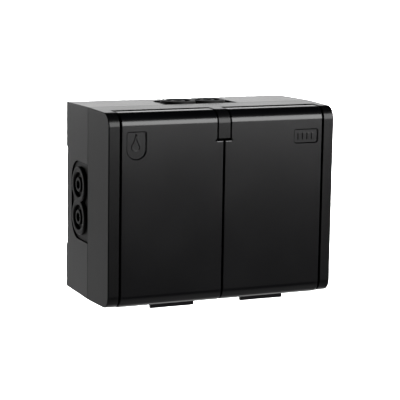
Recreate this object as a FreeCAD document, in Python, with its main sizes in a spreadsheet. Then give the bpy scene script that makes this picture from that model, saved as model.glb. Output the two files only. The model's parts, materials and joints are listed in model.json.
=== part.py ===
import FreeCAD, Part
import math
import os
import re

import Sketcher

# Outdoor double socket: base box, cover frame and two sprung lids that hinge at the top.
# The origin is the centre of the back face, +Y goes into the wall, +Z is up and +X is to the
# right of somebody who faces the box. "Out" is the distance from the wall, so out = -Y.

document = FreeCAD.newDocument("outdoor_double_socket")
sheet = document.addObject("Spreadsheet::Sheet", "dims")

driving_sizes = {
    # wells, which set the size of the box
    "well_radius": 19.5,
    "well_depth": 17.5,
    "well_wall": 1.6,
    "well_floor": 3.0,
    "well_side_room": 3.45,
    "well_end_room": 22.9,
    "rim_flange": 1.2,
    "rim_flange_rise": 1.0,
    "well_gap": 0.3,
    "pin_spacing": 19.0,
    "pin_hole_radius": 2.6,
    "guide_width": 5.0,
    "guide_rise": 1.9,
    # walls of the two halves
    "side_draft": 0.45,
    "joint_groove": 0.35,
    "wall": 2.5,
    "back_wall": 2.5,
    "edge_round": 0.5,
    "front_round": 6.0,
    # sealing rim between the halves
    "rim_wall": 1.0,
    "rim_rise": 1.6,
    "rim_side_gap": 0.15,
    "gasket_rise": 1.4,
    # cover frame
    "strip_width": 5.5,
    "deck_drop": 8.5,
    "deck_wall": 2.5,
    "tongue_width": 6.0,
    "tongue_reach": 13.0,
    "tongue_undercut": 2.7,
    "trough_wall": 1.6,
    # hinge, measured from the front face and from the top face
    "hinge_back": 7.0,
    "hinge_drop": 5.5,
    "hinge_slit": 1.0,
    "pin_radius": 1.25,
    "pin_seat": 2.0,
    "pin_fit": 0.03,
    "pin_play": 0.08,
    "knuckle_radius": 5.4,
    "knuckle_width": 3.0,
    # lids
    "lid_wall": 2.0,
    "lid_side_wall": 1.6,
    "lid_tail": 10.2,
    "lid_side_gap": 1.0,
    "lid_middle_gap": 0.8,
    "lid_deck_gap": 0.4,
    "lid_edge_round": 0.35,
    "tongue_gap": 0.65,
    "lip_width": 21.3,
    "lip_centre": 22.5,
    "lip_back": 4.9,
    "lip_wall": 1.6,
    "lip_reach": 1.7,
    "sign_depth": 0.6,
    "sign_bevel": 0.5,
    "sign_round": 0.7,
    "left_sign_width": 8.6,
    "left_sign_height": 11.7,
    "left_sign_foot_round": 4.2,
    "left_sign_edge": 9.3,
    "left_sign_top": 9.0,
    "right_sign_width": 11.6,
    "right_sign_height": 5.8,
    "right_sign_foot_round": 1.0,
    "right_sign_edge": 8.9,
    "right_sign_top": 10.7,
    # earth clips
    "clip_width": 6.0,
    "clip_wall": 0.8,
    "clip_slot_gap": 0.4,
    "clip_back_gap": 1.1,
    "clip_spring": 1.7,
    "clip_waist": 2.0,
    "clip_bulge_drop": 7.0,
    "clip_tip_drop": 3.0,
    # seals
    "seal_inset": 0.1,
    "seal_width": 2.4,
    "seal_rise": 2.6,
    "seal_bite": 1.0,
    "seal_rib": 1.2,
    "seal_gap": 0.3,
    # contact carriers
    "carrier_width": 36.0,
    "carrier_height": 34.0,
    "carrier_depth": 17.0,
    "carrier_floor": 3.0,
    "seat_post_rise": 6.5,
    "seat_post_radius": 3.0,
    "seat_post_spacing": 24.0,
    "socket_gap": 0.2,
    "sleeve_bore": 2.5,
    "sleeve_wall": 0.8,
    "sleeve_top_room": 1.5,
    "foot_wall": 1.0,
    "terminal_size": 6.0,
    "terminal_end_room": 3.7,
    "wire_hole_radius": 1.3,
    "bar_width": 3.2,
    "bar_wall": 0.8,
    "earth_bar_height": 7.0,
    # screws
    "cover_screw_radius": 1.5,
    "cover_screw_head": 3.0,
    "cover_screw_head_rise": 1.9,
    "cover_screw_bite": 14.0,
    "cover_screw_inset": 10.0,
    "cover_screw_room": 3.9,
    "cover_boss_rise": 3.0,
    "pillar_radius": 3.4,
    "terminal_screw_radius": 1.4,
    "terminal_screw_head": 2.3,
    "terminal_screw_head_rise": 1.8,
    "terminal_screw_length": 5.0,
    "pot_screw_radius": 1.6,
    "pot_screw_head": 3.0,
    "pot_screw_head_rise": 1.6,
    "pot_screw_length": 13.0,
    "screw_fit": 0.15,
    "thread_gap": 0.03,
    "slot_width": 0.8,
    "slot_depth": 0.7,
    # fixing holes in the back wall
    "fixing_side_inset": 14.0,
    "fixing_end_inset": 8.0,
    "fixing_hole_radius": 2.25,
    "fixing_boss_radius": 4.2,
    "fixing_boss_rise": 2.0,
    "wall_notch_width": 45.7,
    "wall_notch_depth": 1.1,
    # cable entries
    "entry_back": 7.1,
    "entry_round": 9.0,
    "entry_gap": 0.25,
    "entry_recess": 1.0,
    "entry_flange_wall": 1.2,
    "entry_flange_lap": 1.6,
    "rail_wall": 1.5,
    "rail_gap": 0.15,
    "collar_spacing": 15.0,
    "collar_radius": 8.3,
    "collar_rise": 2.0,
    "collar_end_room": 2.35,
    "collar_side_room": 2.9,
    "membrane_radius": 5.7,
    "membrane_drop": 2.2,
    "pierce_ring_radius": 3.4,
    "pierce_ring_wall": 1.4,
    "pierce_ring_drop": 0.1,
    "pierce_depth": 2.6,
    # lid springs
    "spring_wire_radius": 0.35,
    "spring_radius": 2.0,
    "spring_pitch": 1.6,
    "spring_turns": 3.0,
    "spring_start": 20.0,
}

# Sizes that follow from the driving ones, in the words that the sketches use.
derived_sizes = {
    "lid_width": "2 * (well_outer + well_side_room)",
    "box_width": "lid_middle_gap + 2 * (lid_width + lid_side_gap + strip_width)",
    "box_height": "2 * (well_outer + well_end_room)",
    "box_depth": "rim_out - rim_flange_rise + deck_drop",
    "base_depth": "entry_back + 2 * (collar_radius + collar_side_room)",
    "half_width": "box_width / 2",
    "half_height": "box_height / 2",
    "inner_half_width": "half_width - wall",
    "inner_half_height": "half_height - wall",
    "bay_half_width": "half_width - strip_width",
    "deck_out": "rim_out - rim_flange_rise",
    "deck_back": "deck_out - deck_wall",
    "tongue_half": "tongue_width / 2",
    "tongue_low": "half_height - tongue_reach",
    "hinge_out": "box_depth - hinge_back",
    "hinge_z": "half_height - hinge_drop",
    "tail_back": "lid_tail - hinge_back",
    "trough_radius": "sqrt((tail_back + hinge_slit) ^ 2 + hinge_drop ^ 2)",
    "trough_back": "hinge_out - trough_radius - trough_wall",
    "trough_low": "hinge_z - trough_radius - trough_wall",
    "tongue_corner": "sqrt(hinge_back ^ 2 + (tongue_reach - hinge_drop) ^ 2)",
    "notch_radius": "tongue_corner + tongue_gap",
    "lid_near": "lid_middle_gap / 2",
    "lid_far": "bay_half_width - lid_side_gap",
    "notch_far": "tongue_half + tongue_gap",
    "lid_inside": "box_depth - lid_wall",
    "lid_rear": "deck_out + lid_deck_gap",
    "socket_x": "(lid_near + lid_far) / 2",
    "well_outer": "well_radius + well_wall",
    "carrier_seat": "back_wall + seat_post_rise",
    "floor_back": "carrier_seat + carrier_depth",
    "floor_out": "floor_back + well_floor",
    "rim_out": "floor_out + well_depth",
    "seal_back": "rim_out + seal_gap",
    "seal_radius": "well_outer - seal_inset",
    "sleeve_radius": "sleeve_bore + sleeve_wall",
    "sleeve_length": "carrier_depth - carrier_floor - sleeve_top_room",
    "terminal_centre": "carrier_height / 2 - terminal_end_room",
    "foot_out": "carrier_seat + carrier_floor",
    "terminal_out": "foot_out + foot_wall + terminal_size",
    "boss_back": "deck_back - cover_boss_rise",
    "cover_screw_width": "box_width - 2 * cover_screw_inset",
    "cover_screw_height": "2 * (well_outer + cover_screw_room)",
    "fixing_width": "box_width - 2 * fixing_side_inset",
    "fixing_height": "box_height - 2 * fixing_end_inset",
    "entry_width": "collar_spacing + 2 * (collar_radius + collar_end_room)",
    "entry_centre": "(entry_back + base_depth) / 2",
    "gasket_low": "base_depth + rim_rise",
    "gasket_high": "gasket_low + gasket_rise",
    "clip_root": "well_radius - clip_back_gap - clip_wall",
    "clip_waist_out": "floor_out + clip_waist",
    "clip_bulge_out": "rim_out - clip_bulge_drop",
    "clip_bulge": "clip_root - clip_spring",
    "clip_tip_out": "rim_out - clip_tip_drop",
    "pin_near": "tongue_half - pin_seat",
    "pin_far": "bay_half_width + pin_seat",
}

pieces = []


def fill_sheet():
    for row, (name, number) in enumerate(driving_sizes.items(), start=1):
        sheet.set(f"A{row}", name)
        sheet.set(f"B{row}", str(number))
        sheet.setAlias(f"B{row}", name)
    document.recompute()


def rule(text):
    """Write a size in words as an expression on the sheet."""
    def expand(match):
        word = match.group(0)
        if word in derived_sizes:
            return f"({rule(derived_sizes[word])})"
        if word in driving_sizes:
            return f"dims.{word}"
        return word
    return re.sub(r"[a-z_]+[a-z]", expand, text)


def size(text):
    """Work out a size in words as a number, for choosing edges and first positions."""
    return float(sheet.evalExpression(rule(text)))


def outward(side, near, far):
    """Order two distances from the middle as a low and a high coordinate."""
    if side > 0:
        return near, far
    return f"-({far})", f"-({near})"


# Sketches and features

def add_body(name):
    return document.addObject("PartDesign::Body", name)


def add_sketch(body, role, offset):
    plane = [item for item in body.Origin.OriginFeatures if item.Role == role][0]
    sketch = body.newObject("Sketcher::SketchObject", "sketch")
    sketch.AttachmentSupport = [(plane, "")]
    sketch.MapMode = "FlatFace"
    sketch.setExpression("AttachmentOffset.Base.z", rule(offset))
    return sketch


def pin_point(sketch, line, end, across, up):
    """Bind one end of a line, or a centre, to its two distances from the origin."""
    for kind, text in (("DistanceX", across), ("DistanceY", up)):
        number = sketch.addConstraint(Sketcher.Constraint(kind, -1, 1, line, end, size(text)))
        sketch.setExpression(f"Constraints[{number}]", rule(text))


def draw_outline(sketch, corners):
    first = sketch.GeometryCount
    count = len(corners)
    places = [FreeCAD.Vector(size(across), size(up), 0) for across, up in corners]
    for index in range(count):
        sketch.addGeometry(Part.LineSegment(places[index], places[(index + 1) % count]), False)
    for index in range(count):
        following = first + (index + 1) % count
        sketch.addConstraint(Sketcher.Constraint("Coincident", first + index, 2, following, 1))
    for index, (across, up) in enumerate(corners):
        pin_point(sketch, first + index, 1, across, up)


def draw_rectangle(sketch, left, right, low, high):
    draw_outline(sketch, [(left, low), (right, low), (right, high), (left, high)])


def draw_circle(sketch, across, up, radius):
    centre = FreeCAD.Vector(size(across), size(up), 0)
    circle = sketch.addGeometry(
        Part.Circle(centre, FreeCAD.Vector(0, 0, 1), size(radius)), False)
    pin_point(sketch, circle, 3, across, up)
    number = sketch.addConstraint(Sketcher.Constraint("Radius", circle, size(radius)))
    sketch.setExpression(f"Constraints[{number}]", rule(radius))


def pad(body, sketch, length, taper=None):
    feature = body.newObject("PartDesign::Pad", "pad")
    feature.Profile = sketch
    feature.setExpression("Length", rule(length))
    if taper:
        feature.setExpression("TaperAngle", rule(taper))
    feature.recompute(True)
    return feature


def pocket(body, sketch, length, turned=False):
    before = body.Tip.Shape.Volume
    feature = body.newObject("PartDesign::Pocket", "pocket")
    feature.Profile = sketch
    feature.Reversed = turned
    feature.setExpression("Length", rule(length))
    feature.recompute(True)
    if feature.Shape.Volume >= before:
        raise RuntimeError(f"a pocket cuts nothing from {body.Name}")
    return feature


def pad_block(body, x_low, x_high, out_low, out_high, z_low, z_high, taper=None):
    sketch = add_sketch(body, "XZ_Plane", out_low)
    draw_rectangle(sketch, x_low, x_high, z_low, z_high)
    return pad(body, sketch, f"({out_high}) - ({out_low})", taper)


def cut_block(body, x_low, x_high, out_low, out_high, z_low, z_high):
    sketch = add_sketch(body, "XZ_Plane", out_high)
    draw_rectangle(sketch, x_low, x_high, z_low, z_high)
    return pocket(body, sketch, f"({out_high}) - ({out_low})")


def pad_round(body, x, z, radius, out_low, out_high, hole=None):
    sketch = add_sketch(body, "XZ_Plane", out_low)
    draw_circle(sketch, x, z, radius)
    if hole:
        draw_circle(sketch, x, z, hole)
    return pad(body, sketch, f"({out_high}) - ({out_low})")


def cut_round(body, x, z, radius, out_low, out_high):
    sketch = add_sketch(body, "XZ_Plane", out_high)
    draw_circle(sketch, x, z, radius)
    return pocket(body, sketch, f"({out_high}) - ({out_low})")


def pad_disc(body, x_low, x_high, out, z, radius):
    sketch = add_sketch(body, "YZ_Plane", x_low)
    draw_circle(sketch, f"-({out})", z, radius)
    return pad(body, sketch, f"({x_high}) - ({x_low})")


def cut_disc(body, x_low, x_high, out, z, radius):
    sketch = add_sketch(body, "YZ_Plane", x_high)
    draw_circle(sketch, f"-({out})", z, radius)
    return pocket(body, sketch, f"({x_high}) - ({x_low})")


def round_edges(body, radius, chosen):
    """Fillet the edges of the body whose middle point and direction pass the test."""
    names = []
    base = body.Tip
    for index, edge in enumerate(base.Shape.Edges, start=1):
        middle = edge.valueAt((edge.FirstParameter + edge.LastParameter) / 2)
        direction = edge.tangentAt((edge.FirstParameter + edge.LastParameter) / 2)
        if chosen(middle, direction):
            names.append(f"Edge{index}")
    if not names:
        raise RuntimeError(f"no edge of {body.Name} to round")
    feature = body.newObject("PartDesign::Fillet", "round")
    feature.Base = (base, names)
    feature.setExpression("Radius", rule(radius))
    feature.recompute(True)
    return feature


def bevel_edges(body, width, chosen):
    """Chamfer the edges of the body whose middle point passes the test."""
    names = []
    base = body.Tip
    for index, edge in enumerate(base.Shape.Edges, start=1):
        if chosen(edge.valueAt((edge.FirstParameter + edge.LastParameter) / 2)):
            names.append(f"Edge{index}")
    if not names:
        raise RuntimeError(f"no edge of {body.Name} to bevel")
    feature = body.newObject("PartDesign::Chamfer", "bevel")
    feature.Base = (base, names)
    feature.setExpression("Size", rule(width))
    feature.recompute(True)
    return feature


def near(one, other):
    return abs(one - other) < 0.02


# Primitives for turned, sheared and screwed pieces

def add_block(x_low, x_high, out_low, out_high, z_low, z_high):
    block = document.addObject("Part::Box", "block")
    block.setExpression("Length", rule(f"({x_high}) - ({x_low})"))
    block.setExpression("Width", rule(f"({out_high}) - ({out_low})"))
    block.setExpression("Height", rule(f"({z_high}) - ({z_low})"))
    block.setExpression("Placement.Base.x", rule(x_low))
    block.setExpression("Placement.Base.y", rule(f"-({out_high})"))
    block.setExpression("Placement.Base.z", rule(z_low))
    return block


def add_rod(x, out, z, radius, length, along="out"):
    turns = {
        "out": FreeCAD.Rotation(FreeCAD.Vector(1, 0, 0), 90),
        "x": FreeCAD.Rotation(FreeCAD.Vector(0, 1, 0), 90),
        "z": FreeCAD.Rotation(),
    }
    rod = document.addObject("Part::Cylinder", "rod")
    rod.Placement = FreeCAD.Placement(FreeCAD.Vector(), turns[along])
    rod.setExpression("Radius", rule(radius))
    rod.setExpression("Height", rule(length))
    rod.setExpression("Placement.Base.x", rule(x))
    rod.setExpression("Placement.Base.y", rule(f"-({out})"))
    rod.setExpression("Placement.Base.z", rule(z))
    return rod


def join(shapes, name="joined"):
    joined = document.addObject("Part::MultiFuse", name)
    joined.Shapes = shapes
    return joined


def take_away(base, tools, name="cut"):
    cut = document.addObject("Part::Cut", name)
    cut.Base = base
    cut.Tool = tools[0] if len(tools) == 1 else join(tools)
    return cut


def finish(piece, label):
    piece.Label = label
    pieces.append(piece)


# Base box

def make_base():
    base = add_body("base")
    pad_block(base, "side_draft - half_width", "half_width - side_draft", "0", "base_depth",
              "side_draft - half_height", "half_height - side_draft",
              taper="atan(side_draft / base_depth)")
    round_edges(base, "edge_round", lambda middle, direction: abs(direction.y) > 0.9)
    cut_block(base, "-inner_half_width", "inner_half_width", "back_wall", "base_depth",
              "-inner_half_height", "inner_half_height")
    add_base_rim(base)
    cut_joint_groove(base)
    for side in (-1, 1):
        cut_side_entry(base, side)
    cut_top_entry(base)
    round_entry_corners(base)
    add_entry_rails(base)
    add_pillars(base)
    add_fixings(base)
    cut_wall_notches(base)
    finish(base, "base_box")


def add_base_rim(base):
    rim = add_sketch(base, "XZ_Plane", "base_depth")
    for grow in ("0", "rim_wall"):
        draw_rectangle(rim, f"-(inner_half_width + {grow})", f"inner_half_width + {grow}",
                       f"-(inner_half_height + {grow})", f"inner_half_height + {grow}")
    pad(base, rim, "rim_rise")


def cut_joint_groove(base):
    """A shallow step around the outside, which shows as a line between the two halves."""
    groove = add_sketch(base, "XZ_Plane", "base_depth")
    for grow in ("-joint_groove", "1"):
        draw_rectangle(groove, f"-(half_width + {grow})", f"half_width + {grow}",
                       f"-(half_height + {grow})", f"half_height + {grow}")
    pocket(base, groove, "joint_groove")


def cut_side_entry(base, side):
    low, high = outward(side, "inner_half_width", "half_width + 1")
    opening = add_sketch(base, "YZ_Plane", low)
    draw_rectangle(opening, "-(gasket_low + 1)", "-entry_back", "-entry_width / 2",
                   "entry_width / 2")
    pocket(base, opening, f"({high}) - ({low})", turned=True)


def cut_top_entry(base):
    opening = add_sketch(base, "XY_Plane", "inner_half_height")
    draw_rectangle(opening, "-entry_width / 2", "entry_width / 2", "-(gasket_low + 1)",
                   "-entry_back")
    pocket(base, opening, "wall + 1", turned=True)


def round_entry_corners(base):
    half = size("entry_width / 2")
    back = size("entry_back")

    def chosen(middle, direction):
        if not near(-middle.y, back):
            return False
        across_side = abs(direction.x) > 0.9 and near(abs(middle.z), half)
        across_top = abs(direction.z) > 0.9 and near(abs(middle.x), half)
        return across_side or across_top

    round_edges(base, "entry_round", chosen)


def add_entry_rails(base):
    """Hooked rails beside each opening hold the inner flange of a cable entry."""
    near_end = "(entry_width / 2 + 0.4)"
    stop = "(entry_width / 2 + entry_flange_lap + rail_gap)"
    far_end = f"({stop} + rail_wall)"
    depth = "(entry_flange_wall + rail_gap)"
    for side in (-1, 1):
        for end in (-1, 1):
            wall_x = f"{side} * inner_half_width"
            hook_x = f"{side} * (inner_half_width - {depth})"
            deep_x = f"{side} * (inner_half_width - {depth} - rail_wall)"
            rail = add_sketch(base, "XZ_Plane", "back_wall")
            draw_outline(rail, [
                (wall_x, f"{end} * {far_end}"), (deep_x, f"{end} * {far_end}"),
                (deep_x, f"{end} * {near_end}"), (hook_x, f"{end} * {near_end}"),
                (hook_x, f"{end} * {stop}"), (wall_x, f"{end} * {stop}")])
            pad(base, rail, "base_depth - back_wall")
    for end in (-1, 1):
        hook_z = f"inner_half_height - {depth}"
        deep_z = f"inner_half_height - {depth} - rail_wall"
        rail = add_sketch(base, "XZ_Plane", "back_wall")
        draw_outline(rail, [
            (f"{end} * {far_end}", "inner_half_height"), (f"{end} * {far_end}", deep_z),
            (f"{end} * {near_end}", deep_z), (f"{end} * {near_end}", hook_z),
            (f"{end} * {stop}", hook_z), (f"{end} * {stop}", "inner_half_height")])
        pad(base, rail, "base_depth - back_wall")


def add_pillars(base):
    """Screw pillars for the cover, each tied to its side wall, and posts for the carriers."""
    for side in (-1, 1):
        for end in (-1, 1):
            x = f"{side} * cover_screw_width / 2"
            z = f"{end} * cover_screw_height / 2"
            pad_round(base, x, z, "pillar_radius", "back_wall", "boss_back")
            low, high = outward(side, "cover_screw_width / 2", "inner_half_width")
            pad_block(base, low, high, "back_wall", "base_depth", f"{z} - rail_wall / 2",
                      f"{z} + rail_wall / 2")
            cut_round(base, x, z, "cover_screw_radius + thread_gap",
                      "boss_back - cover_screw_bite", "boss_back")
            pad_round(base, f"{side} * socket_x", f"{end} * seat_post_spacing / 2",
                      "seat_post_radius", "back_wall", "carrier_seat")


def add_fixings(base):
    for side in (-1, 1):
        for end in (-1, 1):
            x = f"{side} * fixing_width / 2"
            z = f"{end} * fixing_height / 2"
            pad_round(base, x, z, "fixing_boss_radius", "back_wall",
                      "back_wall + fixing_boss_rise")
            cut_round(base, x, z, "fixing_hole_radius", "-1", "back_wall + fixing_boss_rise")


def cut_wall_notches(base):
    for side in (-1, 1):
        low, high = outward(side, "half_width - wall", "half_width + 1")
        cut_block(base, low, high, "-1", "wall_notch_depth", "-wall_notch_width / 2",
                  "wall_notch_width / 2")
    cut_block(base, "-wall_notch_width / 2", "wall_notch_width / 2", "-1",
              "wall_notch_depth", "half_height - wall", "half_height + 1")


# Cover frame

def make_cover():
    cover = add_body("cover")
    pad_block(cover, "-half_width", "half_width", "base_depth", "box_depth",
              "-half_height", "half_height",
              taper="-atan(side_draft / (box_depth - base_depth))")
    front = size("box_depth")
    round_edges(cover, "front_round", lambda middle, direction:
                near(-middle.y, front) and abs(direction.x) > 0.9)
    round_edges(cover, "edge_round", lambda middle, direction:
                near(-middle.y, front) and abs(direction.z) > 0.9)
    for side in (-1, 1):
        low, high = outward(side, "tongue_half", "bay_half_width")
        cut_block(cover, low, high, "deck_out", "box_depth + 1", "-half_height - 1",
                  "half_height + 1")
        cut_disc(cover, low, high, "hinge_out", "hinge_z", "trough_radius")
    cut_below_tongue(cover)
    cut_cover_inside(cover)
    cut_cover_rebate(cover)
    add_cover_screw_places(cover)
    for side in (-1, 1):
        cut_round(cover, f"{side} * socket_x", "0", "well_outer + well_gap",
                  "deck_back - 1", "deck_out")
        low, high = outward(side, "pin_near", "pin_far")
        cut_disc(cover, low, high, "hinge_out", "hinge_z", "pin_radius + pin_fit")
    finish(cover, "cover_frame")


def cut_below_tongue(cover):
    """Free the space under the tongue, whose lower end slants back inside its hinge circle."""
    space = add_sketch(cover, "YZ_Plane", "-tongue_half")
    draw_outline(space, [
        ("-deck_out", "-half_height - 1"), ("-deck_out", "tongue_low - tongue_undercut"),
        ("-box_depth", "tongue_low"), ("-box_depth - 1", "tongue_low"),
        ("-box_depth - 1", "-half_height - 1")])
    pocket(cover, space, "tongue_width", turned=True)


def cut_cover_inside(cover):
    """Hollow the cover from behind, shallower behind the hinge troughs."""
    cut_from_behind(cover, "-inner_half_height", "trough_low", "deck_back")
    cut_from_behind(cover, "trough_low", "inner_half_height", "trough_back")


def cut_from_behind(cover, z_low, z_high, out_high):
    hollow = add_sketch(cover, "XZ_Plane", "base_depth")
    draw_rectangle(hollow, "-inner_half_width", "inner_half_width", z_low, z_high)
    pocket(cover, hollow, f"({out_high}) - base_depth", turned=True)


def cut_cover_rebate(cover):
    """The rebate takes the rim of the base, with the gasket at its bottom."""
    rebate = add_sketch(cover, "XZ_Plane", "base_depth")
    grow = "rim_wall + rim_side_gap"
    draw_rectangle(rebate, f"-(inner_half_width + {grow})", f"inner_half_width + {grow}",
                   f"-(inner_half_height + {grow})", f"inner_half_height + {grow}")
    pocket(cover, rebate, "rim_rise + gasket_rise", turned=True)


def add_cover_screw_places(cover):
    for side in (-1, 1):
        for end in (-1, 1):
            x = f"{side} * cover_screw_width / 2"
            z = f"{end} * cover_screw_height / 2"
            pad_round(cover, x, z, "cover_screw_head + wall / 2", "boss_back", "deck_back")
            cut_round(cover, x, z, "cover_screw_head + screw_fit",
                      "deck_out - cover_screw_head_rise - slot_width / 2", "deck_out")
            cut_round(cover, x, z, "cover_screw_radius + screw_fit", "boss_back - 1",
                      "deck_out")


def make_gasket():
    outer = "rim_wall + rim_side_gap"
    low = "gasket_low"
    high = "gasket_high"
    slab = add_block(f"-(inner_half_width + {outer})", f"inner_half_width + {outer}", low, high,
                     f"-(inner_half_height + {outer})", f"inner_half_height + {outer}")
    window = add_block("-inner_half_width", "inner_half_width", f"{low} - 1", f"{high} + 1",
                       "-inner_half_height", "inner_half_height")
    finish(take_away(slab, [window], "gasket"), "cover_gasket")


# Cable entries, drawn flat: x along the wall, y out from the wall behind, z through the wall

def make_entries():
    out_axis = FreeCAD.Vector(0, -1, 0)
    walls = {
        "left": (FreeCAD.Vector(-1, 0, 0), "x", "entry_recess - half_width"),
        "right": (FreeCAD.Vector(1, 0, 0), "x", "half_width - entry_recess"),
        "top": (FreeCAD.Vector(0, 0, 1), "z", "half_height - entry_recess"),
    }
    for name, (normal, axis, distance) in walls.items():
        entry = make_entry_plate(f"entry_{name}_body")
        turn = FreeCAD.Rotation(out_axis.cross(normal), out_axis, normal, "ZYX")
        entry.Placement = FreeCAD.Placement(FreeCAD.Vector(), turn)
        entry.setExpression("Placement.Base.y", rule("-entry_centre"))
        entry.setExpression(f"Placement.Base.{axis}", rule(distance))
        finish(entry, f"entry_{name}")


def flat_pad(body, low, high, draw):
    sketch = add_sketch(body, "XY_Plane", low)
    draw(sketch)
    return pad(body, sketch, f"({high}) - ({low})")


def flat_cut(body, low, high, draw):
    sketch = add_sketch(body, "XY_Plane", high)
    draw(sketch)
    return pocket(body, sketch, f"({high}) - ({low})")


def make_entry_plate(name):
    entry = add_body(name)
    inside = "(entry_recess - wall)"
    half = "(entry_width / 2 - entry_gap)"
    rear = "(entry_back - entry_centre + entry_gap)"
    front = "(base_depth - entry_centre)"
    lap_half = "(entry_width / 2 + entry_flange_lap)"
    lap_rear = "(entry_back - entry_centre - entry_flange_lap)"
    flat_pad(entry, inside, "0", lambda sketch:
             draw_rectangle(sketch, f"-{half}", half, rear, front))
    round_edges(entry, "entry_round - entry_gap", lambda middle, direction:
                abs(direction.z) > 0.9 and near(middle.y, size(rear)))
    flat_pad(entry, f"{inside} - entry_flange_wall", inside, lambda sketch:
             draw_rectangle(sketch, f"-{lap_half}", lap_half, lap_rear, front))
    round_edges(entry, "entry_round + entry_flange_lap", lambda middle, direction:
                abs(direction.z) > 0.9 and near(middle.y, size(lap_rear)))
    flat_pad(entry, inside, f"{inside} + rim_wall", lambda sketch:
             draw_rectangle(sketch, f"-{half}", half, front, f"{front} + rim_rise"))
    add_membranes(entry)
    return entry


def add_membranes(entry):
    """Two joined collars, each around a thin membrane with a ring that guides the piercing."""
    places = ("-collar_spacing / 2", "collar_spacing / 2")
    for place in places:
        flat_pad(entry, "0", "collar_rise", lambda sketch:
                 draw_circle(sketch, place, "0", "collar_radius"))
    for place in places:
        flat_cut(entry, "collar_rise - membrane_drop", "collar_rise", lambda sketch:
                 draw_circle(sketch, place, "0", "membrane_radius"))
        flat_pad(entry, "collar_rise - membrane_drop", "collar_rise - pierce_ring_drop",
                 lambda sketch: draw_circle(sketch, place, "0", "pierce_ring_radius"))
        flat_cut(entry, "collar_rise - pierce_depth", "collar_rise", lambda sketch:
                 draw_circle(sketch, place, "0", "pierce_ring_radius - pierce_ring_wall"))


# Lids

def make_lid(side, name):
    lid = add_body(f"{name}_body")
    low, high = outward(side, "lid_near", "lid_far")
    shell = add_sketch(lid, "YZ_Plane", low)
    draw_outline(shell, [
        ("-lid_rear", "-half_height"), ("-box_depth", "-half_height"),
        ("-box_depth", "half_height"), ("lid_tail - box_depth", "half_height"),
        ("lid_tail - box_depth", "half_height - lid_wall"),
        ("-lid_rear", "half_height - lid_wall")])
    pad(lid, shell, f"({high}) - ({low})")
    front = size("box_depth")
    round_edges(lid, "front_round", lambda middle, direction:
                near(-middle.y, front) and abs(direction.x) > 0.9)
    round_edges(lid, "lid_edge_round", lambda middle, direction:
                near(-middle.y, front) and abs(direction.z) > 0.9)
    hollow_lid(lid, side)
    add_hinge_end(lid, side)
    add_seal_rib(lid, side)
    add_finger_lip(lid, side)
    cut_sign(lid, side)
    finish(lid, name)


def hollow_lid(lid, side):
    low, high = outward(side, "lid_near + lid_side_wall", "lid_far - lid_side_wall")
    cut_block(lid, low, high, "lid_rear - lid_tail", "lid_inside",
              "lid_wall - half_height", "half_height - lid_wall")
    inside = size("lid_inside")
    edge = size("half_height - lid_wall")
    round_edges(lid, "front_round - lid_wall", lambda middle, direction:
                near(-middle.y, inside) and near(abs(middle.z), edge)
                and abs(direction.x) > 0.9)


def add_hinge_end(lid, side):
    """Knuckles at both ends, and the step around the tongue with its own walls."""
    near_x, far_x = outward(side, "0", "notch_far")
    cut_disc(lid, near_x, far_x, "hinge_out", "hinge_z", "notch_radius")
    low, high = outward(side, "lid_near", "notch_far + lid_side_wall")
    pad_block(lid, low, high, "lid_rear", "lid_inside + lid_wall / 4",
              "hinge_z - notch_radius - lid_side_wall - tongue_gap",
              "hinge_z - notch_radius - tongue_gap / 2")
    low, high = outward(side, "notch_far", "notch_far + lid_side_wall")
    pad_block(lid, low, high, "hinge_out", "lid_inside + lid_wall / 4",
              "hinge_z - notch_radius - tongue_gap", "hinge_z")
    ends = (("notch_far", "notch_far + knuckle_width"), ("lid_far - knuckle_width", "lid_far"))
    for nearer, farther in ends:
        low, high = outward(side, nearer, farther)
        pad_disc(lid, low, high, "hinge_out", "hinge_z", "knuckle_radius")
    for nearer, farther in ends:
        low, high = outward(side, f"{nearer} - 1", f"{farther} + 1")
        cut_disc(lid, low, high, "hinge_out", "hinge_z", "pin_radius + pin_play")


def add_seal_rib(lid, side):
    pad_round(lid, f"{side} * socket_x", "0", "seal_radius + seal_rib / 2",
              "seal_back + seal_rise - seal_bite", "lid_inside + lid_wall / 4",
              hole="seal_radius - seal_rib / 2")


def add_finger_lip(lid, side):
    low, high = outward(side, "lip_centre - lip_width / 2", "lip_centre + lip_width / 2")
    pad_block(lid, low, high, "box_depth - lip_back - lip_wall", "box_depth - lip_back",
              "-half_height - lip_reach", "lid_wall / 2 - half_height")
    bottom = size("-half_height - lip_reach")
    round_edges(lid, "lip_wall / 2 - 0.1", lambda middle, direction:
                near(middle.z, bottom) and abs(direction.x) > 0.9)


def cut_sign(lid, side):
    """The bare place of a sign in the upper outer corner, sunk into the face."""
    word = "right" if side > 0 else "left"
    low, high = outward(side, f"half_width - {word}_sign_edge - {word}_sign_width",
                        f"half_width - {word}_sign_edge")
    cut_block(lid, low, high, "box_depth - sign_depth", "box_depth",
              f"half_height - {word}_sign_top - {word}_sign_height",
              f"half_height - {word}_sign_top")
    depth = size("box_depth - sign_depth / 2")
    half_way = size(f"half_height - {word}_sign_top - {word}_sign_height / 2")
    for upper, radius in ((True, "sign_round"), (False, f"{word}_sign_foot_round")):
        round_edges(lid, radius, lambda middle, direction:
                    near(-middle.y, depth) and abs(direction.y) > 0.9
                    and (middle.z > half_way) == upper)
    inner, outer = size(low) - 0.1, size(high) + 0.1
    front = size("box_depth")
    foot = size(f"half_height - {word}_sign_top - {word}_sign_height") - 0.1
    head = size(f"half_height - {word}_sign_top") + 0.1
    bevel_edges(lid, "sign_bevel", lambda middle:
                near(-middle.y, front) and inner < middle.x < outer
                and foot < middle.z < head)


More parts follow.
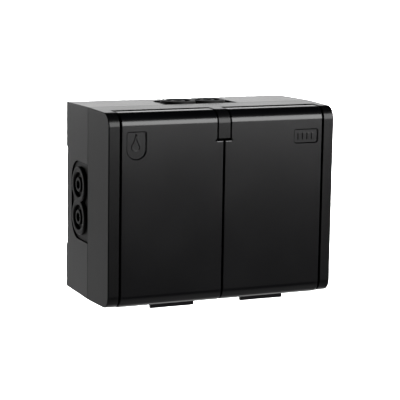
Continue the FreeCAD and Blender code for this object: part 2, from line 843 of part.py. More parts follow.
def make_lid_seal(side, name):
    x = f"{side} * socket_x"
    outer = add_rod(x, "seal_back", "0", "seal_radius + seal_width / 2", "seal_rise")
    hole = add_rod(x, "seal_back - 1", "0", "seal_radius - seal_width / 2", "seal_rise + 2")
    groove = take_away(
        add_rod(x, "seal_back + seal_rise - seal_bite", "0", "seal_radius + seal_rib / 2",
                "seal_bite + 1"),
        [add_rod(x, "seal_back + seal_rise - seal_bite - 1", "0",
                 "seal_radius - seal_rib / 2", "seal_bite + 3")])
    finish(take_away(outer, [hole, groove], f"{name}_ring"), name)


def make_hinge_pin(side, name):
    low, high = outward(side, "pin_near", "pin_far")
    finish(add_rod(low, "hinge_out", "hinge_z", "pin_radius", f"({high}) - ({low})", "x"), name)


def make_lid_spring(side, name):
    """A torsion spring on the pin, with one leg in the trough and one against the lid."""
    radius = size("spring_radius")
    wire = size("spring_wire_radius")
    pitch = size("spring_pitch")
    length = pitch * size("spring_turns")
    coil_path = Part.makeHelix(pitch, length, radius)
    sides = 6
    angles = [2 * math.pi * corner / sides for corner in range(sides + 1)]
    section = Part.makePolygon([
        FreeCAD.Vector(radius + wire * math.cos(angle), 0, wire * math.sin(angle))
        for angle in angles])
    coil = Part.Wire(coil_path).makePipeShell([section], True, True)
    back_reach = (size("trough_radius") ** 2 - radius ** 2) ** 0.5 - wire
    back_leg = Part.makeCylinder(wire, back_reach, FreeCAD.Vector(radius, 0, 0),
                                 FreeCAD.Vector(0, -1, 0))
    front_leg = Part.makeCylinder(wire, size("lid_inside - hinge_out") - 2 * wire,
                                  FreeCAD.Vector(radius, 0, length), FreeCAD.Vector(0, 1, 0))
    spring = document.addObject("Part::Feature", f"{name}_coil")
    spring.Shape = coil.fuse([back_leg, front_leg])
    low = outward(side, "spring_start", "spring_start + spring_pitch * spring_turns")[0]
    place = FreeCAD.Vector(size(low) + length, -size("hinge_out"), size("hinge_z"))
    turn = FreeCAD.Rotation(FreeCAD.Vector(0, 0, -1), FreeCAD.Vector(0, -1, 0),
                            FreeCAD.Vector(-1, 0, 0), "ZYX")
    spring.Placement = FreeCAD.Placement(place, turn)
    finish(spring, name)


# Wells and what stands behind them

def make_pot(side, name):
    pot = add_body(f"{name}_body")
    profile = add_sketch(pot, "XY_Plane", "0")
    draw_outline(profile, [
        ("0", "-floor_back"), ("well_outer", "-floor_back"), ("well_outer", "-deck_out"),
        ("well_outer + rim_flange", "-deck_out"), ("well_outer + rim_flange", "-rim_out"),
        ("well_radius", "-rim_out"), ("well_radius", "-floor_out"), ("0", "-floor_out")])
    turned = pot.newObject("PartDesign::Revolution", "turned")
    turned.Profile = profile
    turned.ReferenceAxis = (profile, ["V_Axis"])
    turned.Angle = 360
    turned.recompute(True)
    for end in (-1, 1):
        low, high = outward(end, "well_radius - guide_rise", "well_radius + well_wall / 2")
        pad_block(pot, low, high, "floor_out - 1", "rim_out - 1", "-guide_width / 2",
                  "guide_width / 2")
        cut_round(pot, f"{end} * pin_spacing / 2", "0", "pin_hole_radius", "floor_back - 1",
                  "floor_out")
        low, high = outward(end, "clip_root - clip_slot_gap",
                            "clip_root + clip_wall + clip_slot_gap")
        cut_block(pot, "-(clip_width / 2 + clip_slot_gap)", "clip_width / 2 + clip_slot_gap",
                  "floor_back - 1", "floor_out", low, high)
    cut_round(pot, "0", "0", "pot_screw_radius + screw_fit", "floor_back - 1", "floor_out")
    cut_round(pot, "0", "0", "pot_screw_head + screw_fit",
              "floor_out - pot_screw_head_rise", "floor_out")
    pot.setExpression("Placement.Base.x", rule(f"{side} * socket_x"))
    finish(pot, name)


def make_carrier(side, name):
    carrier = add_body(f"{name}_body")
    half_width = "carrier_width / 2"
    half_height = "carrier_height / 2"
    pad_block(carrier, f"-{half_width}", half_width, "carrier_seat", "floor_back",
              f"-{half_height}", half_height)
    round_edges(carrier, "wall", lambda middle, direction: abs(direction.y) > 0.9)
    room = "(terminal_size / 2 + socket_gap)"
    for end in (-1, 1):
        x = f"{end} * pin_spacing / 2"
        cut_round(carrier, x, "0", "sleeve_radius + socket_gap", "foot_out", "floor_back")
        low, high = outward(-end, "0", f"terminal_centre + {room}")
        cut_block(carrier, f"{x} - {room}", f"{x} + {room}", "foot_out", "floor_back", low,
                  high)
        low, high = outward(end, "terminal_centre - bar_width / 2 - socket_gap",
                            "terminal_centre + bar_width / 2 + socket_gap")
        cut_block(carrier, f"-{half_width} - 1", f"{half_width} + 1", "terminal_out",
                  "floor_back", low, high)
    cut_block(carrier, "-(clip_width / 2 + socket_gap)", "clip_width / 2 + socket_gap",
              "floor_back - clip_wall", "floor_back", f"-{half_height} - 1",
              f"{half_height} + 1")
    cut_block(carrier, f"-{half_width} - 1", f"{half_width} + 1",
              "floor_back - clip_wall - bar_wall", "floor_back",
              "earth_bar_height - bar_width / 2 - socket_gap",
              "earth_bar_height + bar_width / 2 + socket_gap")
    cut_round(carrier, "0", "0", "pot_screw_radius + thread_gap",
              "floor_out - pot_screw_head_rise - pot_screw_length - 1", "floor_back")
    carrier.setExpression("Placement.Base.x", rule(f"{side} * socket_x"))
    finish(carrier, name)


def make_contact(side, end, name):
    """A sleeve for the plug's pin on a foot, with its terminal block beside it."""
    x = f"({side} * socket_x + {end} * pin_spacing / 2)"
    foot_top = "(foot_out + foot_wall)"
    z = f"(-({end}) * terminal_centre)"
    half = "terminal_size / 2"
    low, high = outward(-end, "0", f"terminal_centre + {half}")
    body = join([
        add_rod(x, "foot_out", "0", "sleeve_radius", "sleeve_length"),
        add_block(f"{x} - {half}", f"{x} + {half}", "foot_out", foot_top, low, high),
        add_block(f"{x} - {half}", f"{x} + {half}", foot_top, "terminal_out", f"{z} - {half}",
                  f"{z} + {half}")])
    slit_width = "sleeve_wall / 2"
    tools = [
        add_rod(x, foot_top, "0", "sleeve_bore", "sleeve_length"),
        add_rod(x, foot_top, z, "terminal_screw_radius + thread_gap", "terminal_size + 1"),
        add_rod(x, f"{foot_top} + wire_hole_radius + foot_wall / 2", f"{z} - terminal_size",
                "wire_hole_radius", "terminal_size * 2", "z"),
        add_block(f"{x} - sleeve_radius - 1", f"{x} + sleeve_radius + 1",
                  "foot_out + sleeve_length / 2", "foot_out + sleeve_length + 1",
                  f"-{slit_width}", slit_width)]
    finish(take_away(body, tools, f"{name}_body"), name)


def make_earth_clip(side, name):
    """A strap behind the well floor whose two sprung arms stand in the well."""
    clip = add_body(f"{name}_body")
    strap = add_sketch(clip, "YZ_Plane", "-clip_width / 2")
    inner_out = "floor_back - clip_wall"
    corners = [
        (inner_out, "clip_root + clip_wall"), ("clip_waist_out", "clip_root + clip_wall"),
        ("clip_bulge_out", "clip_bulge + clip_wall"), ("clip_tip_out", "clip_root + clip_wall"),
        ("clip_tip_out", "clip_root"), ("clip_bulge_out", "clip_bulge"),
        ("clip_waist_out", "clip_root"), ("floor_back", "clip_root")]
    outline = [(f"-({out})", z) for out, z in corners]
    outline += [(f"-({out})", f"-({z})") for out, z in reversed(corners)]
    draw_outline(strap, outline)
    pad(clip, strap, "clip_width")
    cut_round(clip, "0", "0", "pot_screw_radius + screw_fit", f"{inner_out} - 1", "floor_back")
    clip.setExpression("Placement.Base.x", rule(f"{side} * socket_x"))
    finish(clip, name)


def make_links():
    """Bars on the terminal blocks join like contacts, and one below the straps joins those."""
    for end, name in ((-1, "link_line"), (1, "link_neutral")):
        z = f"(-({end}) * terminal_centre)"
        ends = [f"({side} * socket_x + {end} * pin_spacing / 2)" for side in (-1, 1)]
        bar = add_block(f"{ends[0]} - bar_width / 2", f"{ends[1]} + bar_width / 2",
                        "terminal_out", "terminal_out + bar_wall", f"{z} - bar_width / 2",
                        f"{z} + bar_width / 2")
        holes = [add_rod(x, "terminal_out - 1", z, "terminal_screw_radius + screw_fit / 2",
                         "bar_wall + 2") for x in ends]
        finish(take_away(bar, holes, f"{name}_bar"), name)
    top = "(floor_back - clip_wall)"
    half = "terminal_size / 2"
    bar = join([
        add_block("-socket_x - clip_width / 2", "socket_x + clip_width / 2",
                  f"{top} - bar_wall", top, "earth_bar_height - bar_width / 2",
                  "earth_bar_height + bar_width / 2"),
        add_block(f"-{half}", half, f"{top} - bar_wall - terminal_size", f"{top} - bar_wall",
                  f"earth_bar_height - {half}", f"earth_bar_height + {half}")])
    tools = [
        add_rod("0", f"{top} - bar_wall - terminal_size - 1", "earth_bar_height",
                "terminal_screw_radius + thread_gap", "terminal_size + bar_wall + 2"),
        add_rod("0", f"{top} - bar_wall - terminal_size / 2", "earth_bar_height - terminal_size",
                "wire_hole_radius", "terminal_size * 2", "z")]
    finish(take_away(bar, tools, "link_earth_bar"), "link_earth")


# Screws

def add_screw(x, z, seat, radius, length, head_radius, head_rise):
    """A cheese-head screw whose head rests on the seat, with a slot across it."""
    screw = join([
        add_rod(x, f"{seat} - ({length})", z, radius, f"{length} + {head_rise} / 2"),
        add_rod(x, seat, z, head_radius, head_rise)])
    slot = add_block(f"{x} - {head_radius} - 1", f"{x} + {head_radius} + 1",
                     f"{seat} + {head_rise} - slot_depth", f"{seat} + {head_rise} + 1",
                     f"{z} - slot_width / 2", f"{z} + slot_width / 2")
    return take_away(screw, [slot])


def make_screws():
    head_seat = "(deck_out - cover_screw_head_rise - slot_width / 2)"
    cover_screws = []
    for side in (-1, 1):
        for end in (-1, 1):
            cover_screws.append(add_screw(
                f"({side} * cover_screw_width / 2)", f"({end} * cover_screw_height / 2)",
                head_seat, "cover_screw_radius",
                "(deck_out - boss_back + cover_screw_bite - 2 * cover_screw_head_rise)",
                "cover_screw_head", "cover_screw_head_rise"))
    finish(join(cover_screws, "cover_screw_group"), "cover_screws")
    terminal_screws = []
    for side in (-1, 1):
        for end in (-1, 1):
            terminal_screws.append(add_terminal_screw(
                f"({side} * socket_x + {end} * pin_spacing / 2)",
                f"(-({end}) * terminal_centre)", "(terminal_out + bar_wall)"))
    terminal_screws.append(add_terminal_screw("0", "earth_bar_height",
                                              "(floor_back - clip_wall)"))
    finish(join(terminal_screws, "terminal_screw_group"), "terminal_screws")
    for side, word in ((-1, "left"), (1, "right")):
        screw = add_screw(f"({side} * socket_x)", "0", "(floor_out - pot_screw_head_rise)",
                          "pot_screw_radius", "pot_screw_length",
                          "pot_screw_head", "pot_screw_head_rise")
        finish(screw, f"pot_screw_{word}")


def add_terminal_screw(x, z, seat):
    return add_screw(x, z, seat, "terminal_screw_radius", "terminal_screw_length",
                     "terminal_screw_head", "terminal_screw_head_rise")


def check_document():
    for item in document.Objects:
        if "Invalid" in item.State or "Error" in item.State:
            raise RuntimeError(f"{item.Name} ({item.Label}) is {item.State}")
    for piece in pieces:
        if piece.Shape.isNull() or not piece.Shape.isValid():
            raise RuntimeError(f"{piece.Label} has no valid shape")


def write_parts():
    os.makedirs("parts", exist_ok=True)
    for piece in pieces:
        piece.Shape.exportStep(f"parts/{piece.Label}.step")


fill_sheet()
make_base()
make_cover()
make_gasket()
make_entries()
for side, word in ((-1, "left"), (1, "right")):
    make_lid(side, f"lid_{word}")
    make_lid_seal(side, f"lid_seal_{word}")
    make_hinge_pin(side, f"hinge_pin_{word}")
    make_lid_spring(side, f"lid_spring_{word}")
    make_pot(side, f"socket_pot_{word}")
    make_carrier(side, f"contact_carrier_{word}")
    make_contact(side, -1, f"line_contact_{word}")
    make_contact(side, 1, f"neutral_contact_{word}")
    make_earth_clip(side, f"earth_clip_{word}")
make_links()
make_screws()
document.recompute()
check_document()
write_parts()
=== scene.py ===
import json
import math

import bmesh
import bpy
from mathutils import Matrix, Vector

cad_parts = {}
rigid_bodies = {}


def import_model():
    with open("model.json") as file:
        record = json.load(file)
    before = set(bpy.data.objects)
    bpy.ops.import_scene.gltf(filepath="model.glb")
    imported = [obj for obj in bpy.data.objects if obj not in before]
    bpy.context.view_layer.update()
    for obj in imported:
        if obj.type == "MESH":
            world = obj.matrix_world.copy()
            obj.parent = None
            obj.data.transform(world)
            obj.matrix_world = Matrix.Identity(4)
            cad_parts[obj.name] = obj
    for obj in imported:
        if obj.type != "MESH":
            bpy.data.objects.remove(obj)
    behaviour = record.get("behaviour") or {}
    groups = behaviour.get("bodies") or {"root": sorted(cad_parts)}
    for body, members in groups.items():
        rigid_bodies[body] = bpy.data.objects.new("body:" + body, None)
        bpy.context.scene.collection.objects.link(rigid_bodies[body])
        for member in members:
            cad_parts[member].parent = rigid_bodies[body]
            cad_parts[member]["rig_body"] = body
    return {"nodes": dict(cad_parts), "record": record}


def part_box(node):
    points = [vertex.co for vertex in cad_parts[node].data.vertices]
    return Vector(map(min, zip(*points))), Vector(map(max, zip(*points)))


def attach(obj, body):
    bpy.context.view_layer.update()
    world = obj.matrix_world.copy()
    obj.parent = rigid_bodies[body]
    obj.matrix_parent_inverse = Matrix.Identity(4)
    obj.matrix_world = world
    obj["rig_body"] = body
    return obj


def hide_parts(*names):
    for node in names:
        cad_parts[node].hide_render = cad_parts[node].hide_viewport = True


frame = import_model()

# Outdoor double socket. Metres, origin on the wall face, -Y out from the wall, Z up.
# The small pieces are drawn in millimetres and turned into metres when they are placed.

mm = 0.001
tiny = 0.01  # mm, for finding edges by their place
joinGap = 0.001  # mm, for merging what meets
noAngle = 4  # radians, stands for the angle of a face without area
sharpEdge = math.radians(50)  # what counts as an edge to soften
socketAcross = 24.95  # mm, from the middle of the box to each socket
standUp = Matrix.Rotation(math.radians(90), 4, "X")
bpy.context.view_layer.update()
print("frame loaded:", len(frame["nodes"]), "nodes")


# Finishes, one for each material slot.

texture = {
    "grainDetail": 2.0, "cloudDetail": 4.0, "scratchDetail": 4.0,
    "darkEnd": 0.3, "lightStart": 0.7,
}


def startMaterial(name):
    material = bpy.data.materials.new(name)
    material.use_nodes = True
    tree = material.node_tree
    shader = tree.nodes["Principled BSDF"]
    place = tree.nodes.new("ShaderNodeTexCoord")
    return material, tree, shader, place


def addNoise(tree, place, scale, detail):
    noise = tree.nodes.new("ShaderNodeTexNoise")
    noise.inputs["Scale"].default_value = scale
    noise.inputs["Detail"].default_value = detail
    tree.links.new(place.outputs["Object"], noise.inputs["Vector"])
    return noise.outputs["Fac"]


def blendColours(tree, factor, dark, light, target):
    ramp = tree.nodes.new("ShaderNodeValToRGB")
    first, last = ramp.color_ramp.elements
    first.position, first.color = texture["darkEnd"], (*dark, 1)
    last.position, last.color = texture["lightStart"], (*light, 1)
    tree.links.new(factor, ramp.inputs["Fac"])
    tree.links.new(ramp.outputs["Color"], target)


def blendValues(tree, factor, low, high, target):
    spread = tree.nodes.new("ShaderNodeMapRange")
    spread.inputs["To Min"].default_value = low
    spread.inputs["To Max"].default_value = high
    tree.links.new(factor, spread.inputs["Value"])
    tree.links.new(spread.outputs["Result"], target)


def addBump(tree, shader, height, strength, distance):
    bump = tree.nodes.new("ShaderNodeBump")
    bump.inputs["Strength"].default_value = strength
    bump.inputs["Distance"].default_value = distance
    tree.links.new(height, bump.inputs["Height"])
    tree.links.new(bump.outputs["Normal"], shader.inputs["Normal"])


def applyLook(tree, shader, look, tint, height):
    blendColours(tree, tint, look["dark"], look["light"], shader.inputs["Base Color"])
    blendValues(tree, tint, *look["rough"], shader.inputs["Roughness"])
    addBump(tree, shader, height, look["bump"], look["bumpHeight"])


def makeMouldedPlastic(name, look):
    material, tree, shader, place = startMaterial(name)
    grain = addNoise(tree, place, look["grainScale"], texture["grainDetail"])
    cloud = addNoise(tree, place, look["cloudScale"], texture["cloudDetail"])
    shader.inputs["IOR"].default_value = look["ior"]
    applyLook(tree, shader, look, cloud, grain)
    return material


def makeMetal(name, look):
    material, tree, shader, place = startMaterial(name)
    scratch = addNoise(tree, place, look["grainScale"], texture["scratchDetail"])
    shader.inputs["Metallic"].default_value = 1.0
    applyLook(tree, shader, look, scratch, scratch)
    return material


finishes = {
    "housing_plastic": makeMouldedPlastic("housingPlastic", {
        "dark": (0.0026, 0.0026, 0.0028), "light": (0.0036, 0.0036, 0.0039),
        "rough": (0.23, 0.28), "ior": 1.34, "grainScale": 2600, "cloudScale": 40,
        "bump": 0.06, "bumpHeight": 0.00003}),
    "lid_plastic": makeMouldedPlastic("lidPlastic", {
        "dark": (0.0018, 0.0018, 0.0023), "light": (0.0026, 0.0026, 0.0032),
        "rough": (0.19, 0.23), "ior": 1.5, "grainScale": 3200, "cloudScale": 30,
        "bump": 0.03, "bumpHeight": 0.00002}),
    "well_plastic": makeMouldedPlastic("wellPlastic", {
        "dark": (0.006, 0.006, 0.0063), "light": (0.009, 0.009, 0.0094),
        "rough": (0.35, 0.45), "ior": 1.5, "grainScale": 2600, "cloudScale": 60,
        "bump": 0.15, "bumpHeight": 0.00004}),
    "carrier_plastic": makeMouldedPlastic("carrierThermoset", {
        "dark": (0.62, 0.6, 0.54), "light": (0.72, 0.7, 0.64),
        "rough": (0.5, 0.62), "ior": 1.5, "grainScale": 1500, "cloudScale": 80,
        "bump": 0.2, "bumpHeight": 0.00005}),
    "entry_rubber": makeMouldedPlastic("entryRubber", {
        "dark": (0.004, 0.004, 0.004), "light": (0.006, 0.006, 0.006),
        "rough": (0.42, 0.52), "ior": 1.36, "grainScale": 1800, "cloudScale": 90,
        "bump": 0.08, "bumpHeight": 0.00003}),
    "seal_rubber": makeMouldedPlastic("sealRubber", {
        "dark": (0.03, 0.03, 0.031), "light": (0.042, 0.042, 0.043),
        "rough": (0.6, 0.75), "ior": 1.45, "grainScale": 1400, "cloudScale": 120,
        "bump": 0.3, "bumpHeight": 0.00006}),
    "contact_brass": makeMetal("contactBrass", {
        "dark": (0.66, 0.46, 0.18), "light": (0.8, 0.6, 0.27),
        "rough": (0.22, 0.38), "grainScale": 900, "bump": 0.15, "bumpHeight": 0.00003}),
    "spring_steel": makeMetal("springSteel", {
        "dark": (0.5, 0.5, 0.49), "light": (0.66, 0.66, 0.64),
        "rough": (0.2, 0.32), "grainScale": 1100, "bump": 0.1, "bumpHeight": 0.00003}),
    "screw_steel": makeMetal("screwZinc", {
        "dark": (0.34, 0.35, 0.35), "light": (0.47, 0.47, 0.45),
        "rough": (0.32, 0.46), "grainScale": 700, "bump": 0.2, "bumpHeight": 0.00004}),
}
print("finishes made:", len(finishes))


# Steps that several pieces share.

def bevelEdges(work, edges, width, steps, clamp=False):
    return bmesh.ops.bevel(work, geom=edges, offset=width, offset_type="OFFSET",
                           segments=steps, profile=0.5, affect="EDGES", material=-1,
                           clamp_overlap=clamp)["faces"]


def softenEdges(work, width, steps, chosen):
    edges = [edge for edge in work.edges if len(edge.link_faces) == 2
             and edge.calc_face_angle(0) > sharpEdge and chosen(edge)]
    bevelEdges(work, edges, width, steps, clamp=True)


def everything(work):
    return work.verts[:] + work.edges[:] + work.faces[:]


def vertsOf(geometry):
    return [item for item in geometry if isinstance(item, bmesh.types.BMVert)]


def spinProfile(work, points, steps):
    # a closed outline of radius and height goes once round the Z axis
    verts = [work.verts.new((radius, 0, height)) for radius, height in points]
    edges = [work.edges.new((verts[i - 1], verts[i])) for i in range(1, len(verts))]
    if points[0][0] > 0:
        edges.append(work.edges.new((verts[-1], verts[0])))
    bmesh.ops.spin(work, geom=verts + edges, cent=(0, 0, 0), axis=(0, 0, 1),
                   angle=2 * math.pi, steps=steps, use_merge=True)
    bmesh.ops.remove_doubles(work, verts=work.verts, dist=joinGap)
    bmesh.ops.recalc_face_normals(work, faces=work.faces)


def joinMeshes(work, other):
    # the other mesh is added to this one and freed
    mesh = bpy.data.meshes.new("loose")
    other.to_mesh(mesh)
    other.free()
    work.from_mesh(mesh)
    bpy.data.meshes.remove(mesh)


def placeAt(x, y, z):
    # a place given in millimetres
    return Matrix.Translation((x * mm, y * mm, z * mm))


def placePiece(work, turn):
    # turn a piece drawn in millimetres into its place in metres
    bmesh.ops.transform(work, matrix=turn @ Matrix.Scale(mm, 4), verts=work.verts)
    bmesh.ops.recalc_face_normals(work, faces=work.faces)


# Smooth faces with even corner normals, and the link to the frame.

dressing = {"mergeGap": 0.000002, "flatAngle": 0.4, "sharpAngle": 28.0}


def findFlats(work):
    # each face gets the number of the flat area that it belongs to
    limit = math.radians(dressing["flatAngle"])
    flatOf = {}
    flats = []
    for start in work.faces:
        if start in flatOf:
            continue
        number = len(flats)
        total = Vector()
        waiting = [start]
        flatOf[start] = number
        while waiting:
            face = waiting.pop()
            total += face.normal * face.calc_area()
            for edge in face.edges:
                for other in edge.link_faces:
                    if (other not in flatOf
                            and other.normal.angle(face.normal, noAngle) < limit):
                        flatOf[other] = number
                        waiting.append(other)
        flats.append(total)
    return flatOf, flats


def evenNormals(work):
    # a corner's normal leans on the largest flat areas that it smoothly joins
    limit = math.radians(dressing["sharpAngle"])
    flatOf, flats = findFlats(work)
    normals = []
    for face in work.faces:
        own = flats[flatOf[face]]
        for vert in face.verts:
            mixed = Vector()
            for number in {flatOf[other] for other in vert.link_faces}:
                flat = flats[number]
                if flat.angle(own, noAngle) < limit:
                    mixed += flat * flat.length
            normals.append(mixed.normalized() if mixed.length > 0 else face.normal.copy())
    return normals


def finishPiece(work, name, slot, body, *replaced):
    for face in work.faces:
        face.smooth = True
    normals = evenNormals(work)
    mesh = bpy.data.meshes.new(name)
    work.to_mesh(mesh)
    work.free()
    mesh.normals_split_custom_set(normals)
    mesh.materials.append(finishes[slot])
    piece = bpy.data.objects.new(name, mesh)
    bpy.context.scene.collection.objects.link(piece)
    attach(piece, body)
    if replaced:
        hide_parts(*replaced)
    return piece


# Cover frame: the top rolls over into the hinge troughs, the tongue is a little narrower.

coverTop = {
    "slitLow": (-0.0431, 0.0433), "slitHigh": (-0.0419, 0.0441), "slitLength": 0.005,
    "slitAngle": 20.0, "slitRound": 0.0006, "slitSteps": 5,
    "tongueReach": 0.0034, "tongueFront": 0.0436, "tongueShare": 0.94,
}


def softenCover(work, look):
    low, high = look["slitLow"], look["slitHigh"]
    edges = [edge for edge in work.edges if len(edge.link_faces) == 2
             and all(low[0] < vert.co.y < high[0] and low[1] < vert.co.z < high[1]
                     for vert in edge.verts)
             and abs(edge.verts[0].co.x - edge.verts[1].co.x) > look["slitLength"]
             and edge.calc_face_angle(0) > math.radians(look["slitAngle"])]
    bevelEdges(work, edges, look["slitRound"], look["slitSteps"])
    print("slit edges softened:", len(edges))
    for vert in work.verts:
        if abs(vert.co.x) < look["tongueReach"] and -vert.co.y > look["tongueFront"]:
            vert.co.x *= look["tongueShare"]


# Lids: the top lies a little below the frame, its rear edge and its notch are rounded.

lidTop = {
    "start": 0.038, "drop": 0.0005, "slack": 0.00005,
    "rear": 0.0439, "rearAngle": 0.8, "rearRound": 0.0014, "rearSteps": 5,
    "notchLow": (0.0007, 0.0539, 0.0299), "notchHigh": (0.0037, 0.0541, 0.0303),
    "notchRound": 0.0008, "notchSteps": 4,
}


def softenLid(work, look):
    start, end = look["start"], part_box("lid_left")[1][2]
    rear = [edge for edge in work.edges if len(edge.link_faces) == 2
            and edge.calc_face_angle(0) > look["rearAngle"] and all(
                vert.co.z > end - look["slack"] and -vert.co.y < look["rear"]
                for vert in edge.verts)]
    bevelEdges(work, rear, look["rearRound"], look["rearSteps"])
    low, high = look["notchLow"], look["notchHigh"]
    notch = [edge for edge in work.edges if all(
        low[0] < abs(vert.co.x) < high[0] and low[1] < -vert.co.y < high[1]
        and low[2] < vert.co.z < high[2] for vert in edge.verts)]
    bevelEdges(work, notch, look["notchRound"], look["notchSteps"])
    share = look["drop"] / (end - start)
    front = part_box("lid_left")[0][1]
    for vert in work.verts:
        vert.co.y = max(vert.co.y, front)
        vert.co.z -= max(0.0, vert.co.z - start) * share
    bmesh.ops.dissolve_degenerate(work, dist=dressing["mergeGap"], edges=work.edges)
    print("lid edges rounded:", len(rear), len(notch))


def dressNode(name, slot):
    source = frame["nodes"][name]
    work = bmesh.new()
    work.from_mesh(source.data)
    bmesh.ops.remove_doubles(work, verts=work.verts, dist=dressing["mergeGap"])
    bmesh.ops.dissolve_degenerate(work, edges=work.edges, dist=dressing["mergeGap"])
    if name == "cover_frame":
        softenCover(work, coverTop)
    if name in ("lid_left", "lid_right"):
        softenLid(work, lidTop)
    return finishPiece(work, name + ".skin", slot, source["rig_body"], name)


# Cable entries: a plate that slides into the wall and two joined collars.

grommet = {
    "halfWidth": 17.9, "rear": -10.95, "front": 11.2, "corner": 8.75, "cornerSteps": 10,
    "plateDepth": 1.5, "plateEdge": 0.2, "plateEdgeSteps": 2,
    "flangeGrow": 1.85, "flangeDepth": 1.2, "tongueWidth": 1.0, "tongueReach": 1.6,
    "spacing": 15.0, "collarRadius": 8.3, "collarRise": 1.7, "collarFoot": -1.2,
    "collarRound": 0.75, "collarSteps": 4,
    "membraneRadius": 5.7, "membraneDrop": 2.2, "grooveRound": 0.35, "grooveSteps": 2,
    "ringRadius": 3.4, "ringHole": 2.0, "ringDrop": 0.1, "ringRound": 0.35, "ringSteps": 3,
    "holeDepth": 2.6, "steps": 72,
}
entryPlaces = {  # the way that each one faces, and its middle in metres
    "left": ((-1, 0, 0), (-0.055, -0.0183, 0)),
    "right": ((1, 0, 0), (0.055, -0.0183, 0)),
    "top": ((0, 0, 1), (0, -0.0183, 0.043)),
}


def addBlock(work, low, high):
    block = bmesh.ops.create_cube(work, size=1)["verts"]
    bmesh.ops.scale(work, verts=block, vec=[b - a for a, b in zip(low, high)])
    bmesh.ops.translate(work, verts=block, vec=[(a + b) / 2 for a, b in zip(low, high)])
    return block


def addEntryPlate(work, look, grow, low, high, edgeRound):
    reach = look["halfWidth"] + grow
    rear = look["rear"] - grow
    block = addBlock(work, (-reach, rear, low), (reach, look["front"], high))
    upright = [edge for edge in {edge for vert in block for edge in vert.link_edges}
               if all(vert.co.y < rear + tiny for vert in edge.verts)
               and abs(edge.verts[0].co.z - edge.verts[1].co.z) > tiny]
    rounded = bevelEdges(work, upright, look["corner"] + grow, look["cornerSteps"])
    if edgeRound:
        top = {edge for face in rounded for edge in face.edges
               if all(abs(vert.co.z - high) < joinGap for vert in edge.verts)}
        bevelEdges(work, list(top), edgeRound, look["plateEdgeSteps"])


def addCollar(work, look):
    rise = look["collarRise"]
    drop = rise - look["membraneDrop"]
    ring = rise - look["ringDrop"]
    hole = rise - look["holeDepth"]
    spinProfile(work, [
        (0, hole), (look["ringHole"], hole), (look["ringHole"], ring), (look["ringRadius"], ring),
        (look["ringRadius"], drop), (look["membraneRadius"], drop),
        (look["membraneRadius"], rise), (look["collarRadius"], rise),
        (look["collarRadius"], look["collarFoot"]), (0, look["collarFoot"])], look["steps"])
    outer = (look["membraneRadius"] + look["collarRadius"]) / 2
    softenEdges(work, look["collarRound"], look["collarSteps"],
                lambda edge: edge.verts[0].co.z > rise - tiny
                and edge.verts[0].co.xy.length > look["membraneRadius"] - tiny)
    softenEdges(work, look["ringRound"], look["ringSteps"],
                lambda edge: abs(edge.verts[0].co.z - ring) < tiny
                and edge.verts[0].co.xy.length < outer)
    softenEdges(work, look["grooveRound"], look["grooveSteps"],
                lambda edge: abs(edge.verts[0].co.z - drop) < tiny)


def makeGrommet(look):
    work = bmesh.new()
    addCollar(work, look)
    bmesh.ops.translate(work, verts=work.verts, vec=(look["spacing"] / 2, 0, 0))
    bmesh.ops.bisect_plane(work, geom=everything(work), plane_co=(0, 0, 0),
                           plane_no=(1, 0, 0), clear_inner=True)
    bmesh.ops.mirror(work, geom=everything(work), matrix=Matrix(), merge_dist=joinGap,
                     axis="X")
    bmesh.ops.remove_doubles(work, verts=work.verts, dist=joinGap)
    inside = -look["plateDepth"]
    reach, front = look["halfWidth"], look["front"]
    addEntryPlate(work, look, 0, inside, 0, look["plateEdge"])
    addEntryPlate(work, look, look["flangeGrow"], inside - look["flangeDepth"], inside, 0)
    addBlock(work, (-reach, front, inside),
             (reach, front + look["tongueReach"], inside + look["tongueWidth"]))
    return work


def placeEntries(look, places):
    out = Vector((0, -1, 0))
    for side, (facing, place) in places.items():
        work = makeGrommet(look)
        normal = Vector(facing)
        turn = Matrix((out.cross(normal), out, normal)).transposed().to_4x4()
        placePiece(work, Matrix.Translation(place) @ turn)
        finishPiece(work, f"entry_{side}.grommet", "entry_rubber", "housing", f"entry_{side}")


placeEntries(grommet, entryPlaces)
print("cable entries modelled:", len(entryPlaces))


# Plain reliefs in the sign places of the lids, a drop and four bars.

relief = {
    "floor": -53.4, "sink": 0.1, "rise": 0.46, "softness": 0.1, "softSteps": 2, "rimAngle": 1,
    "dropPlace": (-42.4, 28.6), "dropRadius": 2.3, "dropPull": 3.4, "dropInset": 0.65,
    "dropSteps": 36, "dropTip": 5, "dropNarrowing": 0.45,
    "barPlace": (41.3, 30.4), "barCount": 4, "barSpacing": 2.3, "barSize": (1.0, 3.0),
}


def raiseRelief(work, faces, look):
    raised = bmesh.ops.extrude_face_region(work, geom=faces)
    bmesh.ops.translate(work, verts=vertsOf(raised["geom"]),
                        vec=(0, 0, look["rise"] + look["sink"]))
    rim = [edge for edge in work.edges if all(vert.co.z > look["rise"] for vert in edge.verts)
           and edge.is_manifold and edge.calc_face_angle(0) > look["rimAngle"]]
    bevelEdges(work, rim, look["softness"], look["softSteps"])


def placeRelief(work, look, middle, name, body):
    # drawn flat, then stood upright on the floor of the sign place
    place = placeAt(middle[0], look["floor"] + look["sink"], middle[1])
    placePiece(work, place @ standUp)
    finishPiece(work, name, "lid_plastic", body)


